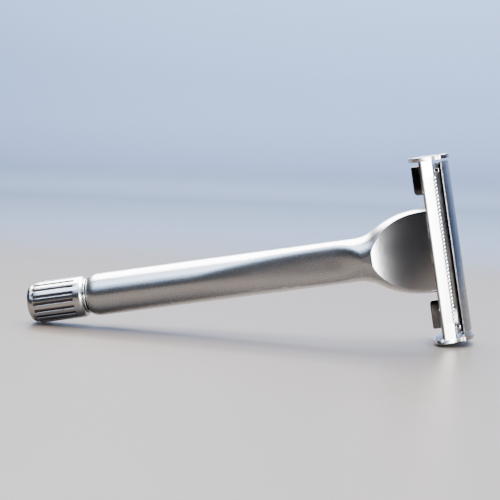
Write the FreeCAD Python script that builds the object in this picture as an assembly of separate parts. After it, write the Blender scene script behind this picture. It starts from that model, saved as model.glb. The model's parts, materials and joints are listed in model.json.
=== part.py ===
import FreeCAD, Part
import math
import os

from FreeCAD import Matrix, Vector

# Adjustable single-edge safety razor, in millimetres.
# Every sub-part is drawn in the handle's own axes: X runs along the handle from the
# knob to the head, Z runs along the head, and -Y is the guard side.
# At the end the razor is leant over so that it lies on its knob and its lower end plate.

# Handle
HANDLE_R = 5.0
HANDLE_START = 15.0
HANDLE_END = 95.9
HANDLE_END_FILLET = 1.8
BORE_R = 1.75
GRIP_END = 50.0
WAIST_TAPER = 0.01
NECK_START = 78.5
NECK_SIDE_HALF = 0.25
NECK_LOFT_START = 80.6
NECK_STEPS = 10
NECK_HOLLOW_R = 9.0
NECK_CROWN_R = 19.0
FAN_HALF = 9.65
FAN_FACE_Y = 2.4
FAN_FACE_R = 36.0
SCOOP_START = 52.0
SCOOP_FLOOR_X = 74.0
SCOOP_END = 79.0
SCOOP_DEPTH = 1.6
SCOOP_CLEAR = 0.3

BUSH_R = 3.0
BUSH_END = 21.0
CLIP_ROOM_R = 2.7
CLIP_ROOM_END = 22.6
SMALL = 0.1

# Knob and its shaft
KNOB_R = 4.9
KNOB_END = 13.8
KNOB_CAP_R = 4.5
KNOB_CAP_FILLET = 1.1
KNOB_SHOULDER = 1.0
FLUTE_START = 1.65
FLUTE_END = 11.65
FLUTES = 18
FLUTE_WIDTH = 0.72
FLUTE_DEPTH = 0.45
LAND_CHAMFER = 0.25
SHAFT_R = 1.5
SHAFT_START = 4.0
SHAFT_FLAT = 1.1
SHAFT_NOSE_R = 1.2
SHAFT_NOSE_START = 88.0
SHAFT_END = 98.9
RUN_FIT = 0.05
CLIP_X = 21.25
CLIP_THICK = 0.4
CLIP_R = 2.4
CLIP_SEAT_R = 1.15
CLIP_MOUTH_HALF = 0.7
THRUST_R = 4.5
THRUST_X0 = 14.3
THRUST_X1 = 14.7
FRICTION_R = 3.9
FRICTION_X0 = 13.85
FRICTION_X1 = 14.25
BUSH_FLANGE_R = 3.6
FRONT_BUSH_X0 = 90.0
FRONT_BUSH_X1 = 94.0
SEAL_X = 89.3
KNOB_SCREW_R = 0.8
KNOB_SCREW_HEAD_R = 1.82
KNOB_SCREW_END = 9.0
SINK_R = 2.0
SINK_DEPTH = 1.1

# Head
HEAD_HALF = 20.25
PLATE_THICK = 1.0
GUARD_FRONT = -5.5
GUARD_BACK = -3.6
GUARD_X0 = 96.38
GUARD_X1 = 99.0
COMB_X1 = 99.35
COMB_HALF = 16.2
COMB_ROUND = 0.75
COMB_PITCH = 0.83
COMB_R = 0.24
COMB_RUN = 0.5
COMB_SLANT = math.radians(35.0)
BASE_X0 = HANDLE_END
BASE_X1 = 98.0
BASE_BACK = 8.0
PAD_X1 = 99.8
PAD_BACK = -2.8
PAD_MID_HALF = 2.75
PAD_OUT_Z0 = 13.5
PAD_OUT_Z1 = 16.8
WINDOW_BACK = -1.7
FLANGE_BACK = 9.0
TAB_X0 = 93.3
TAB_Z0 = 12.3
TAB_Z1 = 19.1
TAB_R = 1.0
TAB_R_OUTER = 0.4
HEAD_BACK = 9.3
PLATE_LEFT = 93.4
PLATE_RIM_FILLET = 0.2
BOSS_X0 = 96.6
BOSS_ROOM = 0.1
GUARD_PIN_X = 97.3
GUARD_PIN_R = 0.5
GUARD_PIN_Z = (-15.2, 0.0, 15.2)

# Carriage that carries the blade
BED_X0 = 99.3
BLADE_X0 = 100.05
BLADE_THICK = 0.25
BLADE_GAP = 0.01
BLADE_EDGE = -3.0
BLADE_WIDE = 11.0
BLADE_LONG = 38.1
BEVEL = 0.8
BED_FRONT = -2.55
BED_BACK = 8.9
BED_HALF = 19.4
CAP_HALF = 19.65
CAP_FRONT = -2.6
RAIL_FRONT = 8.05
BOSS_R = 2.4
TRAVEL = 0.38
STOP_Z0 = 17.4
STOP_Z1 = 18.3
GUIDE_R = 0.8
GUIDE_Z = 14.5
GUIDE_Y = 4.5
SPRING_Z = 8.5
SPRING_Y = 3.5
SPRING_R = 1.2
SPRING_BORE_R = 0.85
LEAF_Y0 = 1.5
LEAF_Y1 = 4.5
LEAF_HALF = 14.8
LEAF_THICK = 0.2
POCKET_DEPTH = 0.3
POCKET_ROOM = 0.3
RIVET_R = 0.5
RIVET_Z = (-12.0, 12.0)
CAP_CROWN = 102.3
CAP_CROWN_Y = 3.2
CAP_NOSE = 0.12
CAP_PIN_Y = 8.45
CAP_PIN_Z = (-15.0, 0.0, 15.0)
STOP_FRONT = -4.0

# Fasteners
SMALL_SCREW_R = 0.8
NECK_SCREW_Z = 7.0
NECK_SCREW_DEPTH = 90.5
DOWEL_R = 0.6
DOWEL_Z = 4.2
DOWEL_X0 = 93.0
DOWEL_X1 = 97.6
NECK_SCREW_HEAD_R = 1.5
PLATE_SCREW_R = 0.55
PLATE_SCREW_X = 97.0
PLATE_SCREW_Y = (-1.6, 5.6)
PLATE_SCREW_HEAD_R = 1.05
PLATE_SCREW_LONG = 4.0
PIN_R = 0.3
FLANGE_SCREW_X = 97.0
FLANGE_SCREW_R = 0.5
FLANGE_SCREW_HEAD_R = 0.75
FLANGE_SCREW_Z = (-16.0, 0.0, 16.0)

ALONG = Vector(1, 0, 0)
UP = Vector(0, 0, 1)
BACK = Vector(0, 1, 0)


def box(x0, x1, y0, y1, z0, z1):
    return Part.makeBox(x1 - x0, y1 - y0, z1 - z0, Vector(x0, y0, z0))


def rod(radius, start, end):
    """Round bar between two points."""
    run = end - start
    return Part.makeCylinder(radius, run.Length, start, run)


def rod_x(radius, x0, x1, y=0.0, z=0.0):
    return rod(radius, Vector(x0, y, z), Vector(x1, y, z))


def arc(a, b, c):
    return Part.Arc(a, b, c).toShape()


def line(a, b):
    return Part.makeLine(a, b)


def turned(points):
    """Solid turned about the handle axis from (x, radius) corners."""
    corners = [Vector(x, 0, r) for x, r in points]
    face = Part.Face(Part.makePolygon(corners + corners[:1]))
    return face.revolve(Vector(0, 0, 0), ALONG, 360)


def prism(edges, z0, z1):
    """Solid made from a closed outline in the XY plane, drawn from z0 to z1."""
    face = Part.Face(Part.Wire(edges))
    face.translate(Vector(0, 0, z0))
    return face.extrude(Vector(0, 0, z1 - z0))


def joined(shapes):
    return shapes[0].multiFuse(shapes[1:]).removeSplitter() if len(shapes) > 1 else shapes[0]


def less(shape, cutters):
    return shape.cut(Part.makeCompound(cutters))


def edges_along(shape, direction, test):
    """Straight edges parallel to a direction whose centre passes the test."""
    found = []
    for edge in shape.Edges:
        if not isinstance(edge.Curve, (Part.Line, Part.LineSegment)):
            continue
        run = edge.Vertexes[-1].Point - edge.Vertexes[0].Point
        if run.Length > 0 and run.normalize().cross(direction).Length < 1e-6 and test(edge.CenterOfMass):
            found.append(edge)
    return found


def flare_half(x):
    """Half width of the neck, two tangent arcs that open from the bar to the fan."""
    rise = FAN_HALF - HANDLE_R
    turn = math.acos(1.0 - rise / (NECK_HOLLOW_R + NECK_CROWN_R))
    middle = NECK_START + NECK_HOLLOW_R * math.sin(turn)
    end = middle + NECK_CROWN_R * math.sin(turn)
    if x <= NECK_START:
        return HANDLE_R
    if x <= middle:
        return HANDLE_R + NECK_HOLLOW_R - math.sqrt(NECK_HOLLOW_R ** 2 - (x - NECK_START) ** 2)
    if x < end:
        return FAN_HALF - NECK_CROWN_R + math.sqrt(NECK_CROWN_R ** 2 - (end - x) ** 2)
    return FAN_HALF


def neck_section(x):
    """Round-ended section of the neck across the handle at x."""
    shift = flare_half(x) - HANDLE_R
    front, back = Vector(x, -HANDLE_R, shift), Vector(x, HANDLE_R, shift)
    low_front, low_back = Vector(x, -HANDLE_R, -shift), Vector(x, HANDLE_R, -shift)
    top = arc(front, Vector(x, 0, shift + HANDLE_R), back)
    bottom = arc(low_back, Vector(x, 0, -shift - HANDLE_R), low_front)
    return Part.Wire([top, line(back, low_back), bottom, line(low_front, front)])


def round_section(x, radius):
    """Round section with short side arcs, so that it lofts into the flat-sided neck."""
    reach = math.sqrt(radius ** 2 - NECK_SIDE_HALF ** 2)
    front, back = Vector(x, -reach, NECK_SIDE_HALF), Vector(x, reach, NECK_SIDE_HALF)
    low_front, low_back = Vector(x, -reach, -NECK_SIDE_HALF), Vector(x, reach, -NECK_SIDE_HALF)
    top = arc(front, Vector(x, 0, radius), back)
    back_side = arc(back, Vector(x, radius, 0), low_back)
    bottom = arc(low_back, Vector(x, 0, -radius), low_front)
    front_side = arc(low_front, Vector(x, -radius, 0), front)
    return Part.Wire([top, back_side, bottom, front_side])


def scoop_cutter(side):
    """Long thumb flat that deepens towards the neck and ends in a short round."""
    outer = HANDLE_R + SCOOP_CLEAR
    floor = HANDLE_R - SCOOP_DEPTH

    def sweep(end):
        """Arc from the floor of the scoop through the handle's surface at end."""
        reach = abs(end - SCOOP_FLOOR_X)
        radius = (reach ** 2 + SCOOP_DEPTH ** 2) / (2 * SCOOP_DEPTH)
        away = math.copysign(1.0, end - SCOOP_FLOOR_X)
        turn = math.acos(1.0 - (outer - floor) / radius)
        points = []
        for share in (0.0, 0.5, 1.0):
            x = SCOOP_FLOOR_X + away * radius * math.sin(turn * share)
            points.append(Vector(x, side * (floor + radius * (1.0 - math.cos(turn * share))), 0))
        return points

    deep, long_mid, start = sweep(SCOOP_START)
    deep, short_mid, end = sweep(SCOOP_END)
    far = side * (outer + HANDLE_R)
    over = [Vector(end.x, far, 0), Vector(start.x, far, 0)]
    edges = [arc(start, long_mid, deep), arc(deep, short_mid, end)]
    edges += [line(end, over[0]), line(over[0], over[1]), line(over[1], start)]
    return prism(edges, -HANDLE_R - 1, HANDLE_R + 1)


def handle_body():
    """Bar, necked fan, thumb scoops and the stepped bore for the shaft."""
    corner = HANDLE_START + HANDLE_END_FILLET
    bend = HANDLE_END_FILLET * math.sqrt(0.5)
    rear = Vector(HANDLE_START, 0, HANDLE_R - HANDLE_END_FILLET)
    crest = Vector(corner, 0, HANDLE_R)
    round_mid = Vector(corner - bend, 0, HANDLE_R - HANDLE_END_FILLET + bend)
    grip_edge = Vector(GRIP_END, 0, HANDLE_R)
    outline = [
        line(Vector(HANDLE_START, 0, 0), rear),
        arc(rear, round_mid, crest),
        line(crest, grip_edge),
        line(grip_edge, Vector(GRIP_END, 0, 0)),
        line(Vector(GRIP_END, 0, 0), Vector(HANDLE_START, 0, 0)),
    ]
    bar = Part.Face(Part.Wire(outline)).revolve(Vector(0, 0, 0), ALONG, 360)
    run = (HANDLE_END - NECK_LOFT_START) / NECK_STEPS
    flared = [neck_section(NECK_LOFT_START + i * run) for i in range(NECK_STEPS + 1)]
    waist_end = round_section(NECK_START, HANDLE_R - WAIST_TAPER)
    neck = Part.makeLoft([waist_end] + flared, True)
    waist = Part.makeLoft([round_section(GRIP_END, HANDLE_R), waist_end], True, True)
    body = bar.fuse(waist).fuse(neck)
    face_y = FAN_FACE_Y + FAN_FACE_R
    for side in (-1, 1):
        low = Vector(HANDLE_END + 0.1, side * face_y, -FAN_HALF - 1)
        body = body.cut(Part.makeCylinder(FAN_FACE_R, 2 * FAN_HALF + 2, low, UP))
        body = body.cut(scoop_cutter(side))
    holes = [
        rod_x(BUSH_R, HANDLE_START - 1, BUSH_END),
        rod_x(CLIP_ROOM_R, BUSH_END - 1, CLIP_ROOM_END),
        rod_x(BORE_R, CLIP_ROOM_END - 1, HANDLE_END + 1),
    ]
    for z in (-NECK_SCREW_Z, NECK_SCREW_Z):
        holes.append(rod_x(SMALL_SCREW_R, NECK_SCREW_DEPTH, HANDLE_END + 1, z=z))
    for z in (-DOWEL_Z, DOWEL_Z):
        holes.append(rod_x(DOWEL_R, DOWEL_X0, HANDLE_END + 1, z=z))
    return less(body, holes)


def rear_bush():
    """Flanged bush that carries the shaft at the knob end."""
    body = turned([
        (THRUST_X1, 0),
        (THRUST_X1, BUSH_FLANGE_R),
        (HANDLE_START, BUSH_FLANGE_R),
        (HANDLE_START, BUSH_R),
        (BUSH_END, BUSH_R),
        (BUSH_END, 0),
    ])
    return body.cut(rod_x(SHAFT_R + RUN_FIT, THRUST_X1 - 1, BUSH_END + 1))


def front_bush():
    """Bush that carries the shaft's nose inside the neck."""
    body = rod_x(BORE_R, FRONT_BUSH_X0, FRONT_BUSH_X1)
    return body.cut(rod_x(SHAFT_NOSE_R + RUN_FIT, FRONT_BUSH_X0 - 1, FRONT_BUSH_X1 + 1))


def thrust_washer():
    """Bright washer against the rear bush."""
    body = rod_x(THRUST_R, THRUST_X0, THRUST_X1)
    rims = [edge for edge in body.Edges if len(edge.Vertexes) == 1]
    body = body.makeChamfer(SMALL, rims)
    return body.cut(rod_x(SHAFT_R + RUN_FIT, THRUST_X0 - 1, THRUST_X1 + 1))


def friction_washer():
    """Dark washer that keeps the knob where it is set."""
    body = rod_x(FRICTION_R, FRICTION_X0, FRICTION_X1)
    return body.cut(rod_x(SHAFT_R + RUN_FIT, FRICTION_X0 - 1, FRICTION_X1 + 1))


def shaft_seal():
    """O-ring round the nose of the shaft, just behind the front bush."""
    ring_r = (BORE_R + SHAFT_NOSE_R) / 2
    thick_r = (BORE_R - SHAFT_NOSE_R) / 2 - 0.02
    return Part.makeTorus(ring_r, thick_r, Vector(SEAL_X, 0, 0), ALONG)


def adjusting_knob():
    """Fluted knob with a plain end band and a keyed bore."""
    fillet = KNOB_CAP_FILLET
    bend = fillet * (1 - math.sqrt(0.5))
    shoulder = KNOB_SHOULDER
    far_bend = shoulder * (1 - math.sqrt(0.5))
    at = lambda x, r: Vector(x, 0, r)
    outline = [
        line(at(0, 0), at(0, KNOB_CAP_R - fillet)),
        arc(at(0, KNOB_CAP_R - fillet), at(bend, KNOB_CAP_R - bend), at(fillet, KNOB_CAP_R)),
        line(at(fillet, KNOB_CAP_R), at(FLUTE_START, KNOB_CAP_R)),
        line(at(FLUTE_START, KNOB_CAP_R), at(FLUTE_START, KNOB_R - LAND_CHAMFER)),
        line(at(FLUTE_START, KNOB_R - LAND_CHAMFER), at(FLUTE_START + 2 * LAND_CHAMFER, KNOB_R)),
        line(at(FLUTE_START + 2 * LAND_CHAMFER, KNOB_R), at(KNOB_END - shoulder, KNOB_R)),
        arc(
            at(KNOB_END - shoulder, KNOB_R),
            at(KNOB_END - far_bend, KNOB_R - far_bend),
            at(KNOB_END, KNOB_R - shoulder),
        ),
        line(at(KNOB_END, KNOB_R - shoulder), at(KNOB_END, 0)),
        line(at(KNOB_END, 0), at(0, 0)),
    ]
    body = Part.Face(Part.Wire(outline)).revolve(Vector(0, 0, 0), ALONG, 360)
    flutes = []
    for i in range(FLUTES):
        half = FLUTE_WIDTH / 2
        flute = box(FLUTE_START - 0.5, FLUTE_END, -half, half, KNOB_R - FLUTE_DEPTH, KNOB_R + 1)
        flute.rotate(Vector(0, 0, 0), ALONG, (i + 0.5) * 360.0 / FLUTES)
        flutes.append(flute)
    body = less(body, flutes)
    keyed = rod_x(SHAFT_R, SHAFT_START, KNOB_END + 1)
    keyed = keyed.cut(box(SHAFT_START - 1, KNOB_END + 2, SHAFT_FLAT, 2, -2, 2))
    sink = turned([(-SMALL, 0), (-SMALL, SINK_R), (SINK_DEPTH, KNOB_SCREW_R), (SINK_DEPTH, 0)])
    return less(body, [keyed, sink, rod_x(KNOB_SCREW_R, SINK_DEPTH - SMALL, SHAFT_START + SMALL)])


def knob_screw():
    """Slotted countersunk screw that holds the knob on its shaft."""
    top = SINK_DEPTH - (KNOB_SCREW_HEAD_R - KNOB_SCREW_R)
    head = turned([
        (top, 0),
        (top, KNOB_SCREW_HEAD_R),
        (SINK_DEPTH, KNOB_SCREW_R),
        (KNOB_SCREW_END, KNOB_SCREW_R),
        (KNOB_SCREW_END, 0),
    ])
    return head.cut(box(-1, 0.5, -0.2, 0.2, -3, 3))


def adjuster_shaft():
    """Shaft keyed into the knob, clipped behind the rear bush, threaded at its nose."""
    body = turned([
        (SHAFT_START, 0),
        (SHAFT_START, SHAFT_R),
        (CLIP_X, SHAFT_R),
        (CLIP_X, CLIP_SEAT_R),
        (CLIP_X + CLIP_THICK, CLIP_SEAT_R),
        (CLIP_X + CLIP_THICK, SHAFT_R),
        (SHAFT_NOSE_START - 0.3, SHAFT_R),
        (SHAFT_NOSE_START, SHAFT_NOSE_R),
        (SHAFT_END - 0.3, SHAFT_NOSE_R),
        (SHAFT_END, SHAFT_NOSE_R - 0.3),
        (SHAFT_END, 0),
    ])
    flat = box(SHAFT_START - 1, KNOB_END, SHAFT_FLAT, 2, -2, 2)
    return less(body, [flat, rod_x(KNOB_SCREW_R, SHAFT_START - 1, KNOB_SCREW_END)])


def shaft_clip():
    """Open clip that keeps the shaft from pulling out of the rear bush."""
    ring = rod_x(CLIP_R, CLIP_X, CLIP_X + CLIP_THICK)
    mouth = box(CLIP_X - 1, CLIP_X + 1, -CLIP_MOUTH_HALF, CLIP_MOUTH_HALF, 0, CLIP_R + 1)
    return less(ring, [rod_x(CLIP_SEAT_R, CLIP_X - 1, CLIP_X + 1), mouth])


def comb_notches():
    """Slanted round notches across the rounded edge of the guard that faces the blade."""
    count = round(2 * COMB_HALF / COMB_PITCH)
    rise = COMB_RUN * math.tan(COMB_SLANT)
    reach = 1.0
    cutters = []
    for i in range(count + 1):
        z = (i - count / 2) * COMB_PITCH
        low = Vector(COMB_X1 - COMB_RUN, GUARD_FRONT, z - rise / 2)
        high = Vector(COMB_X1, GUARD_FRONT + COMB_RUN, z + rise / 2)
        run = high - low
        cutters.append(rod(COMB_R, low - run * reach, high + run * reach))
    return cutters


def guard_bar():
    """Safety bar with a fine comb on its blade side."""
    body = box(GUARD_X0, GUARD_X1, GUARD_FRONT, GUARD_BACK, -HEAD_HALF, HEAD_HALF)
    front_left = edges_along(body, UP, lambda c: c.x < GUARD_X0 + 0.1 and c.y < GUARD_FRONT + 0.1)
    body = body.makeFillet(0.35, front_left)
    half = COMB_HALF + COMB_PITCH / 2
    comb = box(GUARD_X1 - 1.2, COMB_X1, GUARD_FRONT, GUARD_BACK, -half, half)
    front_right = edges_along(comb, UP, lambda c: c.x > COMB_X1 - 0.1 and c.y < GUARD_FRONT + 0.1)
    comb = comb.makeFillet(COMB_ROUND, front_right)
    room = box(COMB_X1 - COMB_ROUND, COMB_X1, GUARD_FRONT - 1, GUARD_BACK, -half, half)
    body = joined([body.cut(room), comb])
    return less(body, comb_notches() + [guard_pin(z) for z in GUARD_PIN_Z])


def guard_pin(z):
    inside = GUARD_FRONT + 0.6
    return rod(GUARD_PIN_R, Vector(GUARD_PIN_X, inside, z), Vector(GUARD_PIN_X, -2.65, z))


def guard_pins():
    """Three pins that join the guard bar to the base."""
    return Part.makeCompound([guard_pin(z) for z in GUARD_PIN_Z])


def windows():
    """Openings that let lather through, one on each side of the middle pad."""
    cutters = []
    for z0, z1 in ((-PAD_OUT_Z0, -PAD_MID_HALF), (PAD_MID_HALF, PAD_OUT_Z0)):
        slot = box(BASE_X0 - 1, BASE_X1 + 1, GUARD_BACK - 1, WINDOW_BACK, z0, z1)
        inner = edges_along(slot, ALONG, lambda c: c.y > WINDOW_BACK - 0.1)
        cutters.append(slot.makeFillet(0.8, inner))
    return cutters


def base_plate():
    """Frame of the head, with three pads in front of the blade bed."""
    body = box(BASE_X0, BASE_X1, GUARD_BACK, BASE_BACK, -HEAD_HALF, HEAD_HALF)
    pads = [box(BASE_X1 - 0.5, PAD_X1, GUARD_BACK, PAD_BACK, -PAD_MID_HALF, PAD_MID_HALF)]
    for z0, z1 in ((-PAD_OUT_Z1, -PAD_OUT_Z0), (PAD_OUT_Z0, PAD_OUT_Z1)):
        pads.append(box(BASE_X1 - 0.5, PAD_X1, GUARD_BACK, PAD_BACK, z0, z1))
    body = joined([body] + pads)
    holes = windows() + [rod_x(BOSS_R + BOSS_ROOM, BASE_X0 - 1, BASE_X1 + 1)]
    for z in (-GUIDE_Z, GUIDE_Z):
        holes.append(rod_x(GUIDE_R + RUN_FIT, BASE_X0 - 1, BASE_X1 + 1, GUIDE_Y, z))
    for z in (-NECK_SCREW_Z, NECK_SCREW_Z):
        holes.append(neck_screw(z, 0.0))
    for z in (-DOWEL_Z, DOWEL_Z):
        holes.append(rod_x(DOWEL_R, BASE_X0 - 1, DOWEL_X1, z=z))
    holes += [guard_pin(z) for z in GUARD_PIN_Z]
    holes += [plate_screw(side, y) for side in (-1, 1) for y in PLATE_SCREW_Y]
    holes += [flange_shank(z) for z in FLANGE_SCREW_Z]
    return less(body, holes)


def neck_screw(z, slot_depth):
    """Countersunk screw through the base into the fan, slotted when a depth is given."""
    top = BASE_X1
    head_r = NECK_SCREW_HEAD_R
    body = turned([
        (NECK_SCREW_DEPTH, 0),
        (NECK_SCREW_DEPTH, SMALL_SCREW_R),
        (top - head_r + SMALL_SCREW_R, SMALL_SCREW_R),
        (top, head_r),
        (top, 0),
    ])
    if slot_depth > 0:
        body = body.cut(box(top - slot_depth, top + 1, -2, 2, -0.2, 0.2))
    body.translate(Vector(0, 0, z))
    return body


def neck_screws():
    return Part.makeCompound([neck_screw(z, 0.5) for z in (-NECK_SCREW_Z, NECK_SCREW_Z)])


def neck_dowels():
    """Two pins that line the base up with the fan."""
    return Part.makeCompound([rod_x(DOWEL_R, DOWEL_X0, DOWEL_X1, z=z) for z in (-DOWEL_Z, DOWEL_Z)])


def plate_screw(side, y, slot_depth=0.0):
    """Countersunk screw that holds an end plate against the end of the base."""
    top = HEAD_HALF + PLATE_THICK
    taper = PLATE_SCREW_HEAD_R - PLATE_SCREW_R
    body = Part.makeCylinder(PLATE_SCREW_R, PLATE_SCREW_LONG, Vector(0, 0, top - PLATE_SCREW_LONG))
    head = Part.makeCone(PLATE_SCREW_R, PLATE_SCREW_HEAD_R, taper, Vector(0, 0, top - taper))
    body = body.fuse(head)
    if slot_depth > 0:
        body = body.cut(box(-2, 2, -0.13, 0.13, top - slot_depth, top + 1))
    if side < 0:
        body.rotate(Vector(0, 0, 0), ALONG, 180)
    body.translate(Vector(PLATE_SCREW_X, y, 0))
    return body


def plate_screws():
    return Part.makeCompound([plate_screw(side, y, 0.3) for side in (-1, 1) for y in PLATE_SCREW_Y])


def flange_shank(z):
    return rod(FLANGE_SCREW_R, Vector(FLANGE_SCREW_X, 5.0, z), Vector(FLANGE_SCREW_X, FLANGE_BACK, z))


def flange_screw(z):
    """Screw with a low round head that holds the rear flange to the base."""
    seat = Vector(FLANGE_SCREW_X, FLANGE_BACK, z)
    head = rod(FLANGE_SCREW_HEAD_R, seat, seat + BACK * (HEAD_BACK - FLANGE_BACK - 0.02))
    return flange_shank(z).fuse(head).removeSplitter()


def flange_screws():
    return Part.makeCompound([flange_screw(z) for z in FLANGE_SCREW_Z])


def rear_flange():
    """Wall behind the base whose two ends stand towards the knob as tabs."""
    wall = box(BASE_X0, BASE_X1 + 0.6, BASE_BACK, FLANGE_BACK, -TAB_Z1, TAB_Z1)
    parts = [wall]
    for side in (-1, 1):
        low, high = sorted((side * TAB_Z0, side * TAB_Z1))
        tab = box(TAB_X0, BASE_X0 + 0.5, BASE_BACK, FLANGE_BACK, low, high)
        inner = edges_along(tab, BACK, lambda c: c.x < TAB_X0 + 0.1 and abs(c.z) < TAB_Z0 + 0.1)
        tab = tab.makeFillet(TAB_R, inner)
        outer = edges_along(tab, BACK, lambda c: c.x < TAB_X0 + 0.1 and abs(c.z) > TAB_Z1 - 0.1)
        parts.append(tab.makeFillet(TAB_R_OUTER, outer))
    return less(joined(parts), [flange_shank(z) for z in FLANGE_SCREW_Z])


def plate_outline():
    """Oval outline of an end plate, flat where the guard bar meets it."""
    at = lambda x, y: Vector(x, y, 0)
    corner = at(94.55, -4.4)
    guard_left = at(96.3, GUARD_FRONT)
    guard_right = at(98.75, GUARD_FRONT)
    crown = at(102.5, 3.2)
    back_right = at(101.6, 8.3)
    back_left = at(94.6, 8.3)
    return [
        arc(back_left, at(PLATE_LEFT, 2.2), corner),
        arc(corner, at(95.2, -5.25), guard_left),
        line(guard_left, guard_right),
        arc(guard_right, at(101.0, -3.45), crown),
        arc(crown, at(102.35, 6.0), back_right),
        arc(back_right, at(98.1, HEAD_BACK), back_left),
    ]


def end_plate(side):
    """Oval end plate with the slot that a blade is pushed through."""
    z0, z1 = sorted((side * HEAD_HALF, side * (HEAD_HALF + PLATE_THICK)))
    body = prism(plate_outline(), z0, z1)
    rim = [e for e in body.Edges if abs(e.CenterOfMass.z - side * (HEAD_HALF + PLATE_THICK)) < 0.01]
    body = body.makeFillet(PLATE_RIM_FILLET, rim)
    slot = box(
        BLADE_X0 - 0.06,
        BLADE_X0 + BLADE_THICK + TRAVEL + 0.06,
        BLADE_EDGE - 0.12,
        BLADE_EDGE + BLADE_WIDE + 0.12,
        z0 - 1,
        z1 + 1,
    )
    return less(body, [slot] + [plate_screw(side, y) for y in PLATE_SCREW_Y])


def end_plate_upper():
    return end_plate(1)


def end_plate_lower():
    return end_plate(-1)


def blade_bed():
    """Carriage plate under the blade, with its threaded boss and rear rail."""
    plate = box(BED_X0, BLADE_X0, BED_FRONT, BED_BACK, -BED_HALF, BED_HALF)
    rail = box(BLADE_X0 - 0.3, BLADE_X0 + BLADE_THICK + 2 * BLADE_GAP, RAIL_FRONT, BED_BACK,
               -BED_HALF, BED_HALF)
    boss = rod_x(BOSS_R, BOSS_X0, BED_X0 + 0.3)
    body = joined([plate, rail, boss])
    holes = [rod_x(SHAFT_NOSE_R + RUN_FIT, BOSS_X0 - 1, BED_X0 + SMALL)]
    holes.append(spring_pocket())
    for z in (-GUIDE_Z, GUIDE_Z):
        holes.append(guide_pin(z))
    holes += [spring_rivet(z) for z in RIVET_Z]
    holes += [cap_pin(z) for z in CAP_PIN_Z]
    holes += [stop_foot(side) for side in (-1, 1)]
    return less(body, holes)


def spring_pocket():
    half = LEAF_HALF + POCKET_ROOM
    floor = BLADE_X0 - POCKET_DEPTH
    return box(floor, BLADE_X0 + 1, LEAF_Y0 - POCKET_ROOM, LEAF_Y1 + POCKET_ROOM, -half, half)


def blade_spring():
    """Leaf in the bed that presses the blade up against the cap."""
    floor = BLADE_X0 - POCKET_DEPTH
    leaf = box(floor, floor + LEAF_THICK, LEAF_Y0, LEAF_Y1, -LEAF_HALF, LEAF_HALF)
    leaf = leaf.makeFillet(1.2, edges_along(leaf, ALONG, lambda c: True))
    pad = box(BLADE_X0 - LEAF_THICK, BLADE_X0, LEAF_Y0 + 0.5, LEAF_Y1 - 0.5, -5.0, 5.0)
    pad = pad.makeFillet(0.8, edges_along(pad, ALONG, lambda c: True))
    return less(joined([leaf, pad]), [spring_rivet(z) for z in RIVET_Z])


def spring_rivet(z):
    top = BLADE_X0 - POCKET_DEPTH + LEAF_THICK
    return rod_x(RIVET_R, BED_X0, top, (LEAF_Y0 + LEAF_Y1) / 2, z)


def spring_rivets():
    return Part.makeCompound([spring_rivet(z) for z in RIVET_Z])


def guide_pin(z):
    return rod_x(GUIDE_R, 96.2, BED_X0 + 0.4, GUIDE_Y, z)


def guide_pins():
    """Two pins that keep the carriage square to the base as it moves."""
    return Part.makeCompound([guide_pin(z) for z in (-GUIDE_Z, GUIDE_Z)])


def stop_foot(side):
    low, high = sorted((side * STOP_Z0, side * STOP_Z1))
    return box(BED_X0, BLADE_X0, BED_FRONT - 0.5, BED_FRONT + 0.6, low, high)


def blade_stop(side):
    """Small hook in front of one end of the cutting edge."""
    low, high = sorted((side * STOP_Z0, side * STOP_Z1))
    foot = stop_foot(side)
    nose = box(GUARD_X1 + 0.2, BLADE_X0, STOP_FRONT, BED_FRONT - 0.05, low, high)
    lip = box(BLADE_X0 - 0.1, BLADE_X0 + BLADE_THICK, STOP_FRONT, BLADE_EDGE - 0.12, low, high)
    body = joined([foot, nose, lip])
    front = edges_along(body, UP, lambda c: c.y < STOP_FRONT + 0.05)
    return body.makeFillet(0.2, front)


def blade_stop_upper():
    return blade_stop(1)


def blade_stop_lower():
    return blade_stop(-1)


def cap():
    """Convex cap that covers the blade and leaves its edge bare."""
    under = BLADE_X0 + BLADE_THICK + 2 * BLADE_GAP
    at = lambda x, y: Vector(x, y, 0)
    nose_low, nose_high = at(under, CAP_FRONT), at(under + 0.22, CAP_FRONT - CAP_NOSE)
    crown = at(CAP_CROWN, CAP_CROWN_Y)
    back_top, back_low = at(CAP_CROWN - 0.6, BED_BACK - 0.5), at(under, BED_BACK)
    outline = [
        line(nose_low, nose_high),
        arc(nose_high, at(101.65, -0.75), crown),
        arc(crown, at(CAP_CROWN - 0.1, 5.6), back_top),
        arc(back_top, at(CAP_CROWN - 1.1, BED_BACK - 0.1), back_low),
        line(back_low, nose_low),
    ]
    body = prism(outline, -CAP_HALF, CAP_HALF)
    return less(body, [cap_pin(z) for z in CAP_PIN_Z])


def cap_pin(z):
    return rod_x(PIN_R, BED_X0 + SMALL, CAP_CROWN - 1.3, CAP_PIN_Y, z)


def cap_pins():
    """Three pins that join the cap to the rail of the bed."""
    return Part.makeCompound([cap_pin(z) for z in CAP_PIN_Z])


def return_spring(z):
    outer = rod_x(SPRING_R, BASE_X1, BED_X0, SPRING_Y, z)
    return outer.cut(rod_x(SPRING_BORE_R, BASE_X1 - 1, BED_X0 + 1, SPRING_Y, z))


def return_springs():
    """Two short springs that push the carriage off the base, as plain sleeves."""
    return Part.makeCompound([return_spring(z) for z in (-SPRING_Z, SPRING_Z)])


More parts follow.
